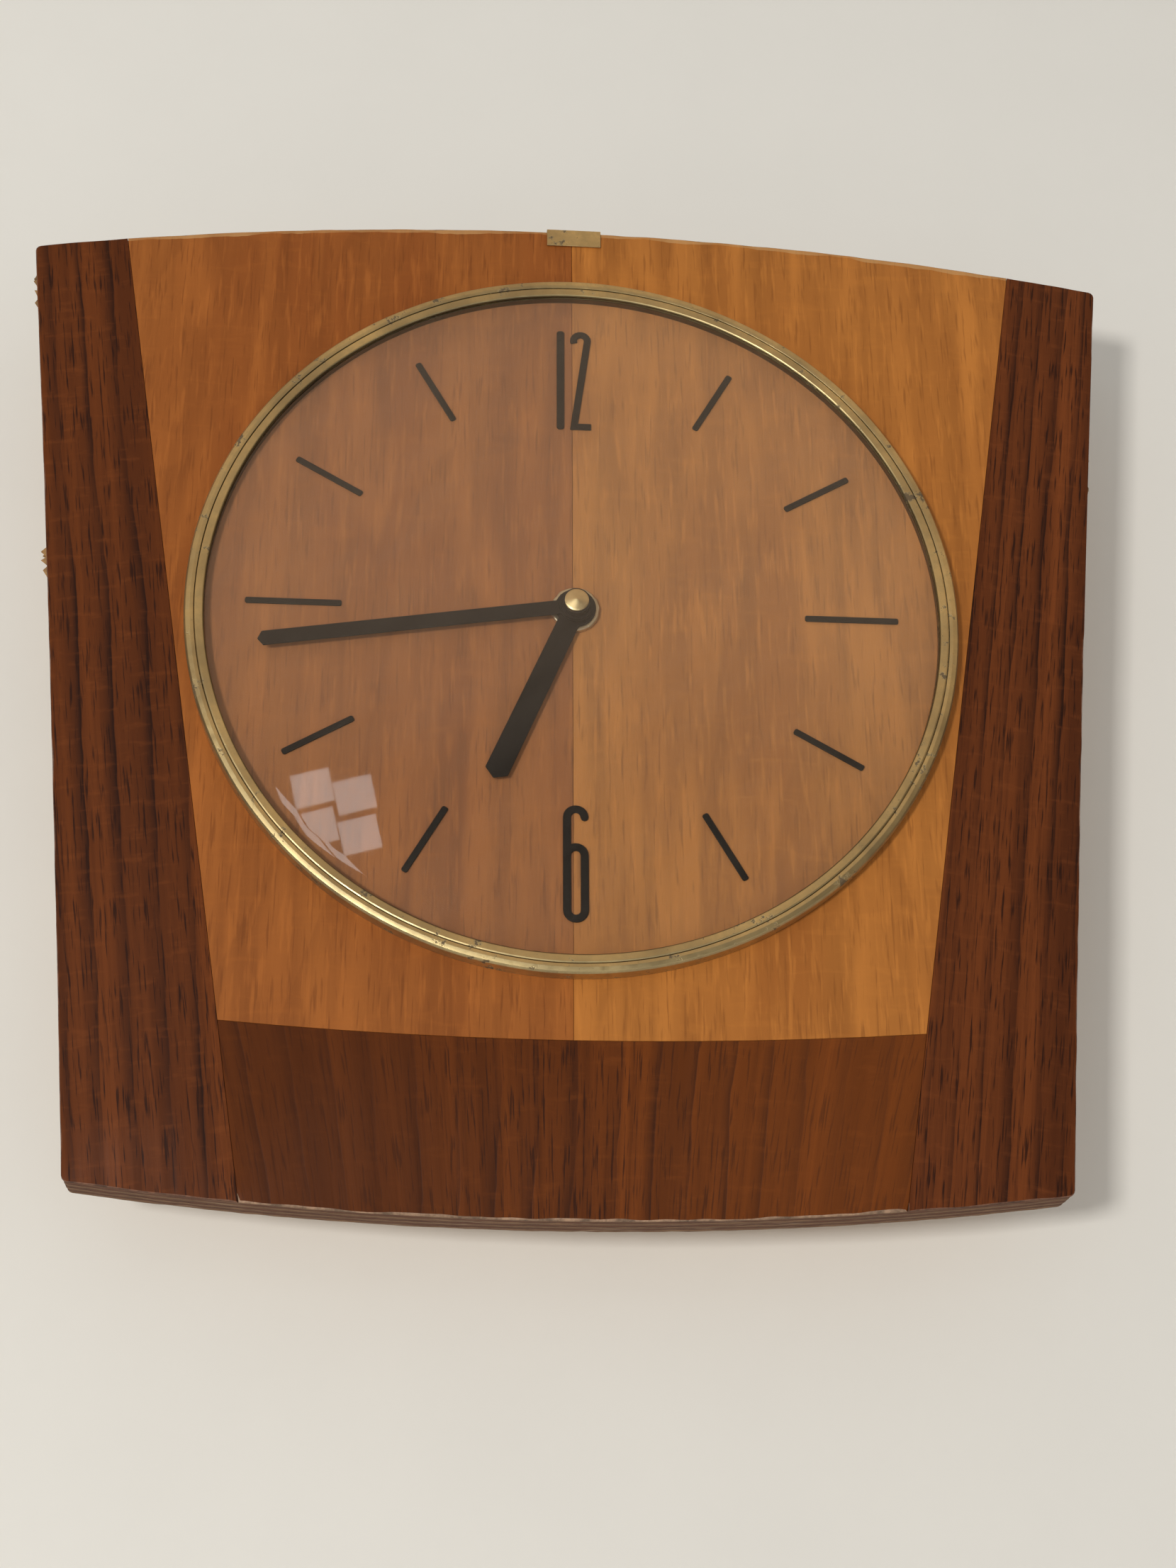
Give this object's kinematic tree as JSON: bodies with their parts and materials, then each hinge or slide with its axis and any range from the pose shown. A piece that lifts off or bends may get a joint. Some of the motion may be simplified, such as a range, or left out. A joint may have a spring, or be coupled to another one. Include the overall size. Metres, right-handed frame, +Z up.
{
  "type": "battery wall clock",
  "caption": "Wall clock with an inlaid wood panel, domed glass in a brass bezel, two hands and a battery balance movement in a plastic case behind.",
  "frame": {"origin": "top of the hanger's keyhole slot, in the plane of the wall: the point where the wall hook carries the clock", "axes": "+Y into the wall, +Z up, +X to the right as seen from the front"},
  "size_m": [0.2984, 0.0595, 0.2832],
  "materials": {
    "plywood": "raw sawn plywood edge and back",
    "light_veneer": "satin varnished light mahogany-coloured veneer",
    "dark_veneer": "satin varnished dark streaked veneer",
    "black": "satin black",
    "aged_brass": "tarnished, with worn lacquer",
    "brass": "plain, slightly dull",
    "steel": "plain, bright",
    "glass": "clear, slightly hazy",
    "ivory_plastic": "yellowed ivory",
    "brown_plastic": "dark brown",
    "white_plastic": "off-white nylon",
    "copper": "varnished copper winding",
    "resin_board": "brown resin-bonded paper",
    "battery_wrap": "plain blue printed jacket, no marks"
  },
  "bodies": {
    "clock_body": {"panel_core": "plywood", "veneer_light_left": "light_veneer", "veneer_light_right": "light_veneer", "veneer_dark_left": "dark_veneer", "veneer_dark_right": "dark_veneer", "veneer_dark_bottom": "dark_veneer", "hour_mark_01": "black", "hour_mark_02": "black", "hour_mark_03": "black", "hour_mark_04": "black", "hour_mark_05": "black", "hour_mark_07": "black", "hour_mark_08": "black", "hour_mark_09": "black", "hour_mark_10": "black", "hour_mark_11": "black", "numeral_1": "black", "numeral_2": "black", "numeral_6": "black", "bezel_ring": "aged_brass", "glass_keeper_ring": "aged_brass", "glass_dome": "glass", "centre_bush": "brass", "dial_nut": "brass", "top_clip": "aged_brass", "hanger_strap": "steel", "hanger_screw_left": "steel", "hanger_screw_right": "steel", "movement_case": "ivory_plastic", "rear_cover": "brown_plastic", "battery": "battery_wrap", "contact_spring": "steel", "contact_plate": "steel", "front_plate": "brass", "back_plate": "brass", "pillar_1": "brass", "pillar_2": "brass", "pillar_3": "brass", "drive_coil": "copper", "circuit_board": "resin_board", "transistor": "steel"},
    "minute_arbor": {"centre_wheel": "brass", "cannon_pinion": "brass", "minute_hand": "black", "hand_cap": "brass"},
    "hour_pipe": {"hour_wheel": "brass", "hour_hand": "black"},
    "minute_wheel_body": {"minute_wheel": "brass"},
    "setting_body": {"setting_knob": "brown_plastic"},
    "third_body": {"third_wheel": "brass"},
    "index_body": {"index_wheel": "white_plastic"},
    "balance": {"balance_staff": "steel", "balance_disc_front": "brass", "balance_disc_rear": "brass", "magnet_front": "steel", "magnet_rear": "steel", "hairspring": "steel"},
    "lever_body": {"drive_lever": "steel"},
    "regulator": {"regulator_lever": "steel"},
    "door": {"battery_door": "brown_plastic"}
  },
  "joints": [
    {"name": "minute_turn", "type": "hinge", "parent": "clock_body", "child": "minute_arbor", "pos_m": [0, -0.02, -0.088], "axis": [0, 1, 0], "continuous": true},
    {"name": "hour_turn", "type": "hinge", "parent": "clock_body", "child": "hour_pipe", "pos_m": [0, -0.02, -0.088], "axis": [0, 1, 0], "continuous": true},
    {"name": "minute_wheel_turn", "type": "hinge", "parent": "clock_body", "child": "minute_wheel_body", "pos_m": [0.012, -0.02, -0.088], "axis": [0, 1, 0], "continuous": true},
    {"name": "setting_turn", "type": "hinge", "parent": "clock_body", "child": "setting_body", "pos_m": [0.024, -0.02, -0.088], "axis": [0, 1, 0], "continuous": true},
    {"name": "third_turn", "type": "hinge", "parent": "clock_body", "child": "third_body", "pos_m": [0.0063, -0.02, -0.07709], "axis": [0, 1, 0], "continuous": true},
    {"name": "index_turn", "type": "hinge", "parent": "clock_body", "child": "index_body", "pos_m": [-0.00401, -0.02, -0.07114], "axis": [0, 1, 0], "continuous": true},
    {"name": "balance_swing", "type": "hinge", "parent": "clock_body", "child": "balance", "pos_m": [-0.027, -0.02, -0.069], "axis": [0, 1, 0], "range_deg": [-135, 135], "stiffness_Nm_per_rad": 0.0002},
    {"name": "lever_rock", "type": "hinge", "parent": "clock_body", "child": "lever_body", "pos_m": [-0.0135, -0.02, -0.0585], "axis": [0, 1, 0], "range_deg": [-8, 8]},
    {"name": "regulator_turn", "type": "hinge", "parent": "clock_body", "child": "regulator", "pos_m": [-0.027, -0.02, -0.069], "axis": [0, 1, 0], "range_deg": [-18, 18]},
    {"name": "door_hinge", "type": "hinge", "parent": "clock_body", "child": "door", "pos_m": [-0.0003, -0.0006, -0.1332], "axis": [-1, 0, 0], "range_deg": [0, 95]}
  ],
  "couplings": [
    {"joint": "hour_turn", "follows": "minute_turn", "ratio": 0.083333},
    {"joint": "minute_wheel_turn", "follows": "minute_turn", "ratio": -0.33333},
    {"joint": "setting_turn", "follows": "minute_turn", "ratio": 1},
    {"joint": "third_turn", "follows": "minute_turn", "ratio": -8},
    {"joint": "index_turn", "follows": "minute_turn", "ratio": 60}
  ]
}
